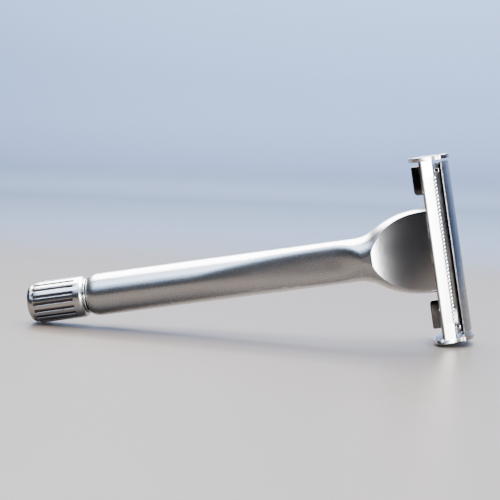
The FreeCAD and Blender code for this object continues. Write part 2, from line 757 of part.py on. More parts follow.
def blade():
    """Single-edge blade with a bevelled edge and clipped rear corners."""
    x0 = BLADE_X0 + BLADE_GAP
    x1 = x0 + BLADE_THICK
    spine = BLADE_EDGE + BLADE_WIDE
    at = lambda x, y: Vector(x, y, 0)
    corners = [
        at((x0 + x1) / 2, BLADE_EDGE),
        at(x1, BLADE_EDGE + BEVEL),
        at(x1, spine),
        at(x0, spine),
        at(x0, BLADE_EDGE + BEVEL),
    ]
    edges = [line(a, b) for a, b in zip(corners, corners[1:] + corners[:1])]
    body = prism(edges, -BLADE_LONG / 2, BLADE_LONG / 2)
    rear = edges_along(body, ALONG, lambda c: c.y > spine - 0.1)
    return body.makeChamfer(0.8, rear)


SUBPARTS = [
    handle_body,
    rear_bush,
    front_bush,
    thrust_washer,
    friction_washer,
    shaft_seal,
    adjusting_knob,
    knob_screw,
    adjuster_shaft,
    shaft_clip,
    guard_bar,
    guard_pins,
    base_plate,
    rear_flange,
    flange_screws,
    neck_screws,
    neck_dowels,
    end_plate_upper,
    end_plate_lower,
    plate_screws,
    blade_bed,
    guide_pins,
    blade_spring,
    spring_rivets,
    blade_stop_upper,
    blade_stop_lower,
    return_springs,
    cap,
    cap_pins,
    blade,
]


def resting_place(shapes):
    """Lean the razor onto its knob and lower end plate, over the origin."""
    knob_point = Vector(FLUTE_START + 2 * LAND_CHAMFER, 0, -KNOB_R)
    plate_point = Vector(PLATE_LEFT, 0, -HEAD_HALF - PLATE_THICK)
    lean = math.atan2(knob_point.z - plate_point.z, plate_point.x - knob_point.x)
    turn = Matrix()
    turn.rotateY(-lean)
    whole = Part.makeCompound(shapes).transformGeometry(turn)
    bounds = whole.optimalBoundingBox(True, False)
    middle = bounds.Center
    shift = Vector(-middle.x, -middle.y, -bounds.ZMin)
    place = FreeCAD.Placement(turn)
    place.Base = shift
    return place, lean


def main():
    os.makedirs("parts", exist_ok=True)
    made = {build.__name__: build() for build in SUBPARTS}
    place, lean = resting_place(list(made.values()))
    for name, shape in made.items():
        shape.Placement = place.multiply(shape.Placement)
        if not shape.isValid():
            print("invalid", name)
        shape.exportStep("parts/" + name + ".step")
        print(name, round(shape.Volume, 2), len(shape.Solids))
    print("lean", round(math.degrees(lean), 4), "shift", tuple(round(v, 4) for v in place.Base))


main()
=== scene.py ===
import bmesh
import bpy
import json
import math
from mathutils import Matrix, Vector


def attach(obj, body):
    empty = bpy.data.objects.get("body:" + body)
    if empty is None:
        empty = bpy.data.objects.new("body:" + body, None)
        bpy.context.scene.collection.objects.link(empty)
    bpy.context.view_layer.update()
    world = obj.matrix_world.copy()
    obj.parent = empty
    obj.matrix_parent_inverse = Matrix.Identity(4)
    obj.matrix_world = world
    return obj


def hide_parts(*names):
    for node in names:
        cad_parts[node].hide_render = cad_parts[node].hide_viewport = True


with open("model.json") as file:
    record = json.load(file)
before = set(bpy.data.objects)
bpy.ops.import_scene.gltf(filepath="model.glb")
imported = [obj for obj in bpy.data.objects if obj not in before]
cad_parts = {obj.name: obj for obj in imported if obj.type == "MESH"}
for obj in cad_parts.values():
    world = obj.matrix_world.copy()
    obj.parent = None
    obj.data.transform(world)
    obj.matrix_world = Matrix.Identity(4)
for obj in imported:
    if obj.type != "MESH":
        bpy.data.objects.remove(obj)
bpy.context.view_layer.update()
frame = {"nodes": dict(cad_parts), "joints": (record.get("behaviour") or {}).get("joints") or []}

# the razor's own axes in millimetres: x along the handle to the head, y away from the guard,
# z up the head
joints = {joint["name"]: joint for joint in frame["joints"]}
alongHandle = -Vector(joints["knob_turn"]["axis"])
upHead = Vector(joints["blade_slide"]["axis"])
awayFromGuard = upHead.cross(alongHandle)
knobPivot = Vector(joints["knob_turn"]["pos_m"])
knobPoints = [v.co for v in frame["nodes"]["adjusting_knob"].data.vertices]
knobEnd = knobPivot + alongHandle * min((p - knobPivot).dot(alongHandle) for p in knobPoints)
millimetre = 0.001
razorToRow = Matrix((alongHandle, awayFromGuard, upHead)).transposed().to_4x4()
razorToRow = razorToRow @ Matrix.Scale(millimetre, 4)
razorToRow.translation = knobEnd
rowToRazor = razorToRow.inverted()
lean = math.atan2(alongHandle.z, alongHandle.x)


def spanOf(node):
    # lowest and highest corner of a CAD node in the razor's axes
    points = [rowToRazor @ v.co for v in frame["nodes"][node].data.vertices]
    low = Vector([min(p[i] for p in points) for i in range(3)])
    high = Vector([max(p[i] for p in points) for i in range(3)])
    return low, high


print("frame ready, leaning", round(math.degrees(lean), 2), "degrees")


# shader groups shared by the metals
def newGroup(name, inputs, outputs):
    group = bpy.data.node_groups.new(name, "ShaderNodeTree")
    for socketName, kind, value in inputs:
        socket = group.interface.new_socket(socketName, in_out="INPUT", socket_type=kind)
        socket.default_value = value
    for socketName, kind in outputs:
        group.interface.new_socket(socketName, in_out="OUTPUT", socket_type=kind)
    return group, group.nodes.new("NodeGroupInput"), group.nodes.new("NodeGroupOutput")


def math2(tree, operation, a, b):
    # one math node; a and b are sockets or numbers
    node = tree.nodes.new("ShaderNodeMath")
    node.operation = operation
    for i, value in enumerate((a, b)):
        if isinstance(value, (int, float)):
            node.inputs[i].default_value = value
        else:
            tree.links.new(value, node.inputs[i])
    return node.outputs[0]


def rangeOf(tree, value, fromLow, fromHigh, toLow, toHigh):
    node = tree.nodes.new("ShaderNodeMapRange")
    node.clamp = True
    tree.links.new(value, node.inputs["Value"])
    pairs = (("From Min", fromLow), ("From Max", fromHigh), ("To Min", toLow), ("To Max", toHigh))
    for socketName, number in pairs:
        if isinstance(number, (int, float)):
            node.inputs[socketName].default_value = number
        else:
            tree.links.new(number, node.inputs[socketName])
    return node.outputs["Result"]


def razorCoordinates(tree):
    # object coordinates turned back by the lean, so that x runs along the handle
    place = tree.nodes.new("ShaderNodeTexCoord")
    turn = tree.nodes.new("ShaderNodeMapping")
    turn.inputs["Rotation"].default_value = (0.0, lean, 0.0)
    tree.links.new(place.outputs["Object"], turn.inputs["Vector"])
    return turn.outputs["Vector"]


def noiseOn(tree, vector, scale, detail, roughness=0.55):
    node = tree.nodes.new("ShaderNodeTexNoise")
    node.inputs["Detail"].default_value = detail
    node.inputs["Roughness"].default_value = roughness
    if isinstance(scale, (int, float)):
        node.inputs["Scale"].default_value = scale
    else:
        tree.links.new(scale, node.inputs["Scale"])
    tree.links.new(vector, node.inputs["Vector"])
    return node.outputs["Fac"]


def buildGrainGroup():
    # fine lines left by brushing: noise stretched along one axis of the razor
    inputs = [
        ("Lines Per Metre", "NodeSocketFloat", 9000.0),
        ("Stretch", "NodeSocketVector", (0.02, 1.0, 1.0)),
        ("Breakup", "NodeSocketFloat", 0.7),
    ]
    group, given, result = newGroup("Brushed Grain", inputs, [("Grain", "NodeSocketFloat")])
    scaled = group.nodes.new("ShaderNodeVectorMath")
    scaled.operation = "MULTIPLY"
    group.links.new(razorCoordinates(group), scaled.inputs[0])
    group.links.new(given.outputs["Stretch"], scaled.inputs[1])
    lines = noiseOn(group, scaled.outputs[0], given.outputs["Lines Per Metre"], 4.0, 0.6)
    patches = noiseOn(group, razorCoordinates(group), 420.0, 2.0)
    faded = rangeOf(group, patches, 0.35, 0.65, given.outputs["Breakup"], 1.0)
    centred = math2(group, "SUBTRACT", lines, 0.5)
    grain = math2(group, "MULTIPLY", centred, faded)
    group.links.new(math2(group, "ADD", grain, 0.5), result.inputs["Grain"])
    return group


def buildEdgeGroup():
    # a mask of the convex edges, where handling polishes the metal
    inputs = [
        ("Start", "NodeSocketFloat", 0.53),
        ("End", "NodeSocketFloat", 0.62),
        ("Wear", "NodeSocketFloat", 0.6),
    ]
    group, given, result = newGroup("Edge Polish", inputs, [("Edge", "NodeSocketFloat")])
    shape = group.nodes.new("ShaderNodeNewGeometry")
    start, end = given.outputs["Start"], given.outputs["End"]
    sharp = rangeOf(group, shape.outputs["Pointiness"], start, end, 0.0, 1.0)
    patches = noiseOn(group, razorCoordinates(group), 900.0, 3.0)
    worn = rangeOf(group, patches, 0.3, 0.7, given.outputs["Wear"], 1.0)
    group.links.new(math2(group, "MULTIPLY", sharp, worn), result.inputs["Edge"])
    return group


def buildHandlingGroup():
    # soft smudges and rare fine specks from being handled and rinsed
    inputs = [("Smudge Scale", "NodeSocketFloat", 90.0), ("Speck Scale", "NodeSocketFloat", 2600.0)]
    outputs = [("Smudge", "NodeSocketFloat"), ("Specks", "NodeSocketFloat")]
    group, given, result = newGroup("Handling Marks", inputs, outputs)
    smudge = noiseOn(group, razorCoordinates(group), given.outputs["Smudge Scale"], 5.0, 0.6)
    dots = noiseOn(group, razorCoordinates(group), given.outputs["Speck Scale"], 1.0)
    group.links.new(rangeOf(group, smudge, 0.35, 0.68, 0.0, 1.0), result.inputs["Smudge"])
    group.links.new(rangeOf(group, dots, 0.70, 0.76, 0.0, 1.0), result.inputs["Specks"])
    return group


grainGroup = buildGrainGroup()
edgeGroup = buildEdgeGroup()
handlingGroup = buildHandlingGroup()


def addGroup(tree, group, values):
    node = tree.nodes.new("ShaderNodeGroup")
    node.node_tree = group
    for socketName, value in values.items():
        node.inputs[socketName].default_value = value
    return node


def mixColours(tree, factor, low, high):
    node = tree.nodes.new("ShaderNodeMix")
    node.data_type = "RGBA"
    tree.links.new(factor, node.inputs["Factor"])
    for socket, value in ((node.inputs["A"], low), (node.inputs["B"], high)):
        if isinstance(value, tuple):
            socket.default_value = (*value, 1.0)
        else:
            tree.links.new(value, socket)
    return node.outputs["Result"]


def newMaterial(name):
    material = bpy.data.materials.new(name)
    material.use_nodes = True
    tree = material.node_tree
    shader = tree.nodes["Principled BSDF"]
    return material, tree, shader


def metal(name, look):
    # a worked metal: grain in colour, roughness and relief, smudges, brighter polished edges, and
    # painted shade that darkens grooves
    material, tree, shader = newMaterial(name)
    grain = addGroup(tree, grainGroup, {"Lines Per Metre": look["lines"], "Stretch": look["stretch"]})
    edge = addGroup(tree, edgeGroup, {"Start": look["edgeStart"], "End": look["edgeEnd"]})
    marks = addGroup(tree, handlingGroup, {"Smudge Scale": look["smudgeScale"]})
    grained = mixColours(tree, grain.outputs["Grain"], look["dark"], look["light"])
    polished = mixColours(tree, edge.outputs["Edge"], grained, look["edge"])
    paintedGrooveShade = tree.nodes.new("ShaderNodeAttribute")
    paintedGrooveShade.attribute_name = "paintedGrooveShade"  # painted shade in grooves: written on pieces with grooves, nought elsewhere
    shaded = mixColours(tree, paintedGrooveShade.outputs["Fac"], polished, look["paintedGrooveShade"])
    tree.links.new(shaded, shader.inputs["Base Color"])
    rough = rangeOf(tree, grain.outputs["Grain"], 0.25, 0.75, look["rough"] - look["grainRough"],
                    look["rough"] + look["grainRough"])
    smudged = math2(tree, "MULTIPLY", marks.outputs["Smudge"], look["smudgeRough"])
    specks = math2(tree, "MULTIPLY", marks.outputs["Specks"], look["speckRough"])
    buffed = tree.nodes.new("ShaderNodeAttribute")
    buffed.attribute_name = "buffed"
    finer = math2(tree, "MULTIPLY", buffed.outputs["Fac"], look["buffedRough"])
    eased = math2(tree, "ADD", math2(tree, "MULTIPLY", edge.outputs["Edge"], look["edgeRough"]), finer)
    marked = math2(tree, "ADD", rough, smudged)
    total = math2(tree, "ADD", marked, math2(tree, "SUBTRACT", specks, eased))
    tree.links.new(rangeOf(tree, total, 0.02, 1.0, 0.02, 1.0), shader.inputs["Roughness"])
    relief = tree.nodes.new("ShaderNodeBump")
    relief.inputs["Strength"].default_value = look["relief"]
    relief.inputs["Distance"].default_value = look["reliefDepth"]
    tree.links.new(grain.outputs["Grain"], relief.inputs["Height"])
    tree.links.new(relief.outputs["Normal"], shader.inputs["Normal"])
    shader.inputs["Metallic"].default_value = 1.0
    shader.inputs["Anisotropic"].default_value = look["anisotropic"]
    return material


baseMetal = {
    "lines": 9000.0,
    "stretch": (0.03, 1.0, 1.0),  # lines run along the handle
    "dark": (0.46, 0.46, 0.47),
    "light": (0.53, 0.53, 0.54),
    "edge": (0.78, 0.78, 0.78),
    # painted shade: dark colour for the floors of grooves and flutes
    "paintedGrooveShade": (0.035, 0.03, 0.028),
    "rough": 0.26,
    "grainRough": 0.015,
    "smudgeRough": 0.03,
    "speckRough": 0.02,
    "edgeRough": 0.06,
    "buffedRough": 0.11,
    "edgeStart": 0.53,
    "edgeEnd": 0.62,
    "smudgeScale": 90.0,
    "relief": 0.003,
    "reliefDepth": 0.00002,
    "anisotropic": 0.0,
}
metalLooks = {
    "handleSteel": {},
    "knobSteel": {
        "rough": 0.22,
        "dark": (0.50, 0.50, 0.51),
        "light": (0.60, 0.60, 0.61),
        "edge": (0.88, 0.88, 0.88),
        "paintedGrooveShade": (0.10, 0.085, 0.08),
    },
    # painted shade: the base plate and blade bed get a far darker steel than the handle, standing in for
    # the shadow inside the head
    "headSteelPaintedShade": {
        "stretch": (1.0, 1.0, 0.03),
        "rough": 0.34,
        "dark": (0.115, 0.115, 0.12),
        "light": (0.145, 0.145, 0.15),
        "edge": (0.40, 0.40, 0.40),
    },
    # painted highlight: the guard's steel is made much paler than the handle's so that its face reads
    # lit white
    "guardSteelPaintedHighlight": {
        "stretch": (1.0, 1.0, 0.03),
        "rough": 0.30,
        "dark": (0.80, 0.80, 0.81),
        "light": (0.90, 0.90, 0.905),
    },
    # painted shade: the end plates get a darker steel than the handle so that they read as shaded
    "plateSteelPaintedShade": {
        "stretch": (1.0, 0.04, 1.0),
        "rough": 0.25,
        "dark": (0.26, 0.26, 0.27),
        "light": (0.31, 0.31, 0.32),
        "edge": (0.62, 0.62, 0.62),
    },
    # painted shade: the rear flange is made near black, standing in for the shadow it lies in behind the
    # guard and plates
    "tabSteelPaintedShade": {
        "stretch": (1.0, 1.0, 0.04),
        "rough": 0.14,
        "dark": (0.065, 0.058, 0.055),
        "light": (0.09, 0.082, 0.08),
        "edge": (0.35, 0.35, 0.35),
    },
    # painted reflection and shade: the cap is made dark and blue-grey, standing in for the dark room and
    # blue backdrop it mirrors
    "capSteelPaintedReflection": {
        "stretch": (1.0, 1.0, 0.02),
        "rough": 0.27,
        "dark": (0.110, 0.117, 0.148),
        "light": (0.138, 0.146, 0.180),
        "edge": (0.42, 0.43, 0.46),
    },
    "brightSteel": {"rough": 0.14, "dark": (0.62, 0.62, 0.63), "light": (0.76, 0.76, 0.77)},
    "screwSteel": {"rough": 0.24, "dark": (0.40, 0.40, 0.42), "light": (0.55, 0.55, 0.57)},
    "springSteel": {"rough": 0.30, "dark": (0.20, 0.20, 0.22), "light": (0.34, 0.34, 0.36)},
    # painted shade: the blade is made dark grey, standing in for the shadowed gap between the comb and
    # the cap
    "bladeSteelPaintedShade": {
        "stretch": (1.0, 0.04, 1.0),
        "rough": 0.30,
        "dark": (0.135, 0.134, 0.138),
        "light": (0.165, 0.164, 0.168),
        "edge": (0.40, 0.40, 0.41),
    },
    "bushBronze": {
        "stretch": (1.0, 0.1, 0.1),
        "rough": 0.28,
        "dark": (0.50, 0.33, 0.16),
        "light": (0.72, 0.52, 0.28),
        "edge": (0.86, 0.68, 0.42),
    },
}
metals = {name: metal(name, {**baseMetal, **changes}) for name, changes in metalLooks.items()}


def dullSolid(name, look):
    # rubber or fibre: mottled colour, uneven roughness and a fine pebbled relief
    material, tree, shader = newMaterial(name)
    mottle = noiseOn(tree, razorCoordinates(tree), look["mottleScale"], 6.0, 0.65)
    tree.links.new(mixColours(tree, mottle, look["dark"], look["light"]), shader.inputs["Base Color"])
    low, high = look["rough"] - look["roughSpread"], look["rough"] + look["roughSpread"]
    tree.links.new(rangeOf(tree, mottle, 0.3, 0.7, low, high), shader.inputs["Roughness"])
    relief = tree.nodes.new("ShaderNodeBump")
    relief.inputs["Strength"].default_value = look["relief"]
    relief.inputs["Distance"].default_value = look["reliefDepth"]
    pebbles = noiseOn(tree, razorCoordinates(tree), look["pebbleScale"], 2.0)
    tree.links.new(pebbles, relief.inputs["Height"])
    tree.links.new(relief.outputs["Normal"], shader.inputs["Normal"])
    return material


fibreLook = {
    "dark": (0.012, 0.012, 0.013),
    "light": (0.04, 0.038, 0.036),
    "rough": 0.62,
    "roughSpread": 0.08,
    "mottleScale": 1500.0,
    "pebbleScale": 6000.0,
    "relief": 0.4,
    "reliefDepth": 0.00003,
}
rubberLook = {
    **fibreLook,
    "dark": (0.01, 0.01, 0.01),
    "light": (0.022, 0.022, 0.022),
    "rough": 0.5,
    "mottleScale": 900.0,
    "pebbleScale": 9000.0,
}
fibreBlack = dullSolid("fibreBlack", fibreLook)
sealRubber = dullSolid("sealRubber", rubberLook)
print("materials ready:", len(bpy.data.materials))


# shape helpers, all in the razor's millimetres
def markShare(mesh, name, shareAt):
    # a share from 0 to 1 at each point: the groove share darkens grooves as painted shade, "buffed"
    # smooths ground faces
    shares = [min(max(shareAt(v.co), 0.0), 1.0) for v in mesh.vertices]
    mesh.attributes.new(name, "FLOAT", "POINT").data.foreach_set("value", shares)


def addPiece(name, points, faces, material, body, node, sharpAngle=38.0, shares=None):
    # a finished piece: mesh in the row frame, faces outwards, riding and standing for its node
    mesh = bpy.data.meshes.new(name)
    mesh.from_pydata([tuple(p) for p in points], [], faces)
    for attribute, shareAt in (shares or {}).items():
        markShare(mesh, attribute, shareAt)
    return finishPiece(name, mesh, material, body, node, sharpAngle)


def finishPiece(name, mesh, material, body, node, sharpAngle=38.0):
    work = bmesh.new()
    work.from_mesh(mesh)
    bmesh.ops.remove_doubles(work, verts=work.verts, dist=1e-5)
    bmesh.ops.recalc_face_normals(work, faces=work.faces)
    work.to_mesh(mesh)
    work.free()
    mesh.transform(razorToRow)
    mesh.update()
    for face in mesh.polygons:
        face.use_smooth = True
    mesh.set_sharp_from_angle(angle=math.radians(sharpAngle))
    mesh.materials.clear()
    mesh.materials.append(material)
    piece = bpy.data.objects.new(name, mesh)
    bpy.context.scene.collection.objects.link(piece)
    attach(piece, body)
    if node:
        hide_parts(node)
    return piece


def joinRings(rings, closeRings=True, closeEnds=False):
    # points and faces of a grid of rings; closeEnds joins the last ring to the first
    count = len(rings[0])
    points = [p for ring in rings for p in ring]
    faces = []
    last = len(rings) if closeEnds else len(rings) - 1
    for i in range(last):
        here, there = i * count, ((i + 1) % len(rings)) * count
        for j in range(count if closeRings else count - 1):
            k = (j + 1) % count
            faces.append((here + j, here + k, there + k, there + j))
    return points, faces


def arcThrough(a, b, c, steps):
    # points on the circle through three flat points, from a to c
    (ax, ay), (bx, by), (cx, cy) = a, b, c
    double = 2 * (ax * (by - cy) + bx * (cy - ay) + cx * (ay - by))
    aa, bb, cc = ax * ax + ay * ay, bx * bx + by * by, cx * cx + cy * cy
    ux = (aa * (by - cy) + bb * (cy - ay) + cc * (ay - by)) / double
    uy = (aa * (cx - bx) + bb * (ax - cx) + cc * (bx - ax)) / double
    radius = math.hypot(ax - ux, ay - uy)
    start, middle, end = (math.atan2(p[1] - uy, p[0] - ux) for p in (a, b, c))
    turn = (end - start) % (2 * math.pi)
    if (middle - start) % (2 * math.pi) > turn:
        turn -= 2 * math.pi
    angles = [start + turn * i / steps for i in range(steps + 1)]
    return [(ux + radius * math.cos(t), uy + radius * math.sin(t)) for t in angles]


def roundCorners(corners, radii, steps=5):
    # a closed outline whose corners are rounded by the radii given
    outline = []
    count = len(corners)
    for i, corner in enumerate(corners):
        radius = radii[i] if isinstance(radii, (list, tuple)) else radii
        here = Vector(corner)
        before = (Vector(corners[i - 1]) - here).normalized()
        after = (Vector(corners[(i + 1) % count]) - here).normalized()
        half = before.angle(after) / 2
        if radius <= 0 or half > math.radians(89):
            outline.append(tuple(here))
            continue
        reach = radius / math.tan(half)
        centre = here + (before + after).normalized() * (radius / math.sin(half))
        start, end = here + before * reach, here + after * reach
        middle = centre + (here - centre).normalized() * radius
        outline += arcThrough(tuple(start), tuple(middle), tuple(end), steps)
    return outline


def insetOutline(outline, depth):
    # a closed outline moved inwards by a small depth
    points = [Vector(p) for p in outline]
    count = len(points)
    area = sum(points[i - 1].x * points[i].y - points[i].x * points[i - 1].y for i in range(count))
    side = 1.0 if area > 0 else -1.0
    moved = []
    for i, p in enumerate(points):
        run = (points[(i + 1) % count] - points[i - 1]).normalized()
        moved.append((p.x - run.y * depth * side, p.y + run.x * depth * side))
    return moved


def prismPiece(name, outline, low, high, endRound, material, body, node, sharpAngle=38.0):
    # an outline in the handle-and-depth plane, drawn up the head, with rounded ends
    levels = [(low, endRound), (low + endRound * 0.3, endRound * 0.3), (low + endRound, 0.0)]
    levels += [(high - endRound, 0.0), (high - endRound * 0.3, endRound * 0.3), (high, endRound)]
    rings = [[(x, y, z) for x, y in insetOutline(outline, depth)] for z, depth in levels]
    points, faces = joinRings(rings)
    count = len(outline)
    faces.append(tuple(range(count)))
    faces.append(tuple(range(len(points) - count, len(points))))
    return addPiece(name, points, faces, material, body, node, sharpAngle)


def lathePiece(name, profile, segments, material, body, node, sharpAngle=38.0):
    # a closed (x, radius) profile turned about the handle's axis
    rings = []
    for i in range(segments):
        angle = 2 * math.pi * i / segments
        rings.append([(x, -r * math.sin(angle), r * math.cos(angle)) for x, r in profile])
    points, faces = joinRings(rings, True, True)
    return addPiece(name, points, faces, material, body, node, sharpAngle)


def softened(node, name, width, material, body, segments=2):
    # a CAD node's shape with its hard edges broken by a small bevel
    source = frame["nodes"][node].data
    mesh = source.copy()
    mesh.name = name
    work = bmesh.new()
    work.from_mesh(mesh)
    bmesh.ops.transform(work, matrix=rowToRazor, verts=work.verts)
    bmesh.ops.remove_doubles(work, verts=work.verts, dist=1e-4)
    bmesh.ops.dissolve_limit(work, angle_limit=math.radians(0.6), verts=work.verts, edges=work.edges)
    work.to_mesh(mesh)
    work.free()
    if "custom_normal" in mesh.attributes:
        mesh.attributes.remove(mesh.attributes["custom_normal"])
    shaper = bpy.data.objects.new(name + "Shaper", mesh)
    bpy.context.scene.collection.objects.link(shaper)
    bevel = shaper.modifiers.new("edgeBreak", "BEVEL")
    bevel.width = width
    bevel.segments = segments
    bevel.limit_method = "ANGLE"
    bevel.angle_limit = math.radians(35)
    bevel.miter_outer = "MITER_ARC"
    result = bpy.data.meshes.new_from_object(shaper.evaluated_get(bpy.context.evaluated_depsgraph_get()))
    result.name = name
    bpy.data.objects.remove(shaper)
    return finishPiece(name, result, material, body, node)


# geometry node trees for what repeats
def copierTree(name, ringed):
    # copies a part round the handle's axis, or in a row up the head
    tree = bpy.data.node_groups.new(name, "GeometryNodeTree")
    tree.interface.new_socket("Geometry", in_out="INPUT", socket_type="NodeSocketGeometry")
    tree.interface.new_socket("Copies", in_out="INPUT", socket_type="NodeSocketInt")
    tree.interface.new_socket("Step", in_out="INPUT", socket_type="NodeSocketFloat")
    tree.interface.new_socket("Finish", in_out="INPUT", socket_type="NodeSocketMaterial")
    tree.interface.new_socket("Geometry", in_out="OUTPUT", socket_type="NodeSocketGeometry")
    nodes, links = tree.nodes, tree.links
    given, result = nodes.new("NodeGroupInput"), nodes.new("NodeGroupOutput")
    points = nodes.new("GeometryNodePoints")
    index = nodes.new("GeometryNodeInputIndex")
    travel = nodes.new("ShaderNodeMath")
    travel.operation = "MULTIPLY"
    place = nodes.new("ShaderNodeCombineXYZ")
    copies = nodes.new("GeometryNodeInstanceOnPoints")
    realize = nodes.new("GeometryNodeRealizeInstances")
    merge = nodes.new("GeometryNodeMergeByDistance")
    finish = nodes.new("GeometryNodeSetMaterial")
    links.new(given.outputs["Copies"], points.inputs["Count"])
    links.new(index.outputs[0], travel.inputs[0])
    links.new(given.outputs["Step"], travel.inputs[1])
    links.new(travel.outputs[0], place.inputs["X" if ringed else "Z"])
    links.new(given.outputs["Geometry"], copies.inputs["Instance"])
    links.new(points.outputs[0], copies.inputs["Points"])
    if ringed:
        links.new(place.outputs[0], copies.inputs["Rotation"])
    else:
        links.new(place.outputs[0], points.inputs["Position"])
    links.new(copies.outputs[0], realize.inputs[0])
    links.new(realize.outputs[0], merge.inputs["Geometry"])
    merge.inputs["Distance"].default_value = 0.0005
    links.new(merge.outputs[0], finish.inputs["Geometry"])
    links.new(given.outputs["Finish"], finish.inputs["Material"])
    links.new(finish.outputs[0], result.inputs[0])
    return tree


ringTree = copierTree("Ring Of Copies", True)
rowTree = copierTree("Row Of Copies", False)


def repeated(points, faces, tree, copies, step, material):
    # the mesh that a copier tree makes from one part
    mesh = bpy.data.meshes.new("part")
    mesh.from_pydata([tuple(p) for p in points], [], faces)
    holder = bpy.data.objects.new("holder", mesh)
    bpy.context.scene.collection.objects.link(holder)
    modifier = holder.modifiers.new("copies", "NODES")
    modifier.node_group = tree
    given = [item for item in tree.interface.items_tree if item.in_out == "INPUT"]
    sockets = {item.name: item.identifier for item in given}
    modifier[sockets["Copies"]] = copies
    modifier[sockets["Step"]] = step
    modifier[sockets["Finish"]] = material
    made = bpy.data.meshes.new_from_object(holder.evaluated_get(bpy.context.evaluated_depsgraph_get()))
    bpy.data.objects.remove(holder)
    return made


# handle: bar, thumb scoops, neck and fan
handleLow, handleHigh = spanOf("handle_body")
handleShape = {
    "start": handleLow.x - 0.4,
    "end": handleHigh.x,
    "radius": handleHigh.y,
    "rearLength": 2.9,
    "rearDrop": 1.15,
    "flangeSeat": 3.65,
    "seatDepth": 0.42,
    "boreRadius": 1.75,
    "bushRadius": 3.0,
    "bushDepth": 6.4,
    "neckStart": 78.5,
    "hollowRadius": 9.0,
    "crownRadius": 19.0,
    "fanHalf": handleHigh.z,
    "faceDepth": 2.4,
    "faceRadius": 36.0,
    "faceEdge": 0.10,
    "scoopStart": 49.0,
    "scoopFloor": 74.0,
    "scoopEnd": 79.0,
    "scoopDepth": 1.6,
    "scoopEdge": 1.5,
    "stretches": [(48.0, 26), (71.0, 40), (80.0, 44)],  # where each stretch ends and its rings
    "fanSteps": 130,
}


def neckHalf(x, s):
    # half width of the neck: two tangent arcs opening from the bar to the fan
    rise = s["fanHalf"] - s["radius"]
    turn = math.acos(1.0 - rise / (s["hollowRadius"] + s["crownRadius"]))
    middle = s["neckStart"] + s["hollowRadius"] * math.sin(turn)
    end = middle + s["crownRadius"] * math.sin(turn)
    if x <= s["neckStart"]:
        return s["radius"]
    if x <= middle:
        drop = math.sqrt(s["hollowRadius"] ** 2 - (x - s["neckStart"]) ** 2)
        return s["radius"] + s["hollowRadius"] - drop
    if x < end:
        return s["fanHalf"] - s["crownRadius"] + math.sqrt(s["crownRadius"] ** 2 - (end - x) ** 2)
    return s["fanHalf"]


def faceLimit(x, s):
    # how far the hollow face of the fan lies from the axis
    reach = s["end"] - x
    if reach > s["faceRadius"] * 0.8:
        return 99.0
    return s["faceDepth"] + s["faceRadius"] - math.sqrt(s["faceRadius"] ** 2 - reach ** 2)


def scoopLimit(x, s):
    # how far the thumb scoop lies from the axis: a long easy arc, then a short round
    end = s["scoopStart"] if x < s["scoopFloor"] else s["scoopEnd"]
    reach = abs(end - s["scoopFloor"])
    radius = (reach ** 2 + s["scoopDepth"] ** 2) / (2 * s["scoopDepth"])
    off = abs(x - s["scoopFloor"])
    if off > radius * 0.9:
        return 99.0
    return s["radius"] - s["scoopDepth"] + radius - math.sqrt(radius ** 2 - off ** 2)


def softMin(a, b, blend):
    near = max(blend - abs(a - b), 0.0) / blend
    return min(a, b) - near * near * blend / 4


def sectionReach(x, angle, s):
    # distance from the axis to the surface; angle 0 is up the head, 90 degrees is sideways
    acrossFlat, upward = abs(math.sin(angle)), abs(math.cos(angle))
    shift = neckHalf(x, s) - s["radius"]
    reach = shift * upward + math.sqrt(s["radius"] ** 2 - (shift * acrossFlat) ** 2)
    if reach * upward < shift:
        reach = s["radius"] / max(acrossFlat, 1e-6)
    if acrossFlat > 0.05:
        reach = softMin(reach, scoopLimit(x, s) / acrossFlat, s["scoopEdge"])
        reach = softMin(reach, faceLimit(x, s) / acrossFlat, s["faceEdge"])
    return reach


def edgeAngle(x, s):
    # where the crisp edge of the fan's face lies round the section, for the grid to follow
    steady = math.radians(45)
    steep = math.radians(74)
    limit = faceLimit(x, s)
    if limit < s["radius"]:
        shift = neckHalf(x, s) - s["radius"]
        level = shift + math.sqrt(s["radius"] ** 2 - limit ** 2)
        return min(math.atan2(limit, level), steep)
    blend = min(max((x - s["neckStart"]) / 4.0, 0.0), 1.0)
    return steady + (steep - steady) * blend * blend * (3 - 2 * blend)


def sectionAngles(x, s, quarter=44):
    # angles round the section, gathered beside the edge
    edge = edgeAngle(x, s)
    outside = quarter // 2
    inside = quarter - outside
    upper = [edge * (1 - (1 - i / outside) ** 1.6) for i in range(outside)]
    lower = [edge + (math.pi / 2 - edge) * (i / inside) ** 1.6 for i in range(inside)]
    first = upper + lower
    second = [math.pi - a for a in [math.pi / 2] + first[:0:-1]]
    half = first + second
    return half + [a + math.pi for a in half]


def handleRing(x, s, limit=99.0):
    ring = []
    for angle in sectionAngles(x, s):
        reach = min(sectionReach(x, angle, s), limit)
        ring.append((x, -reach * math.sin(angle), reach * math.cos(angle)))
    return ring


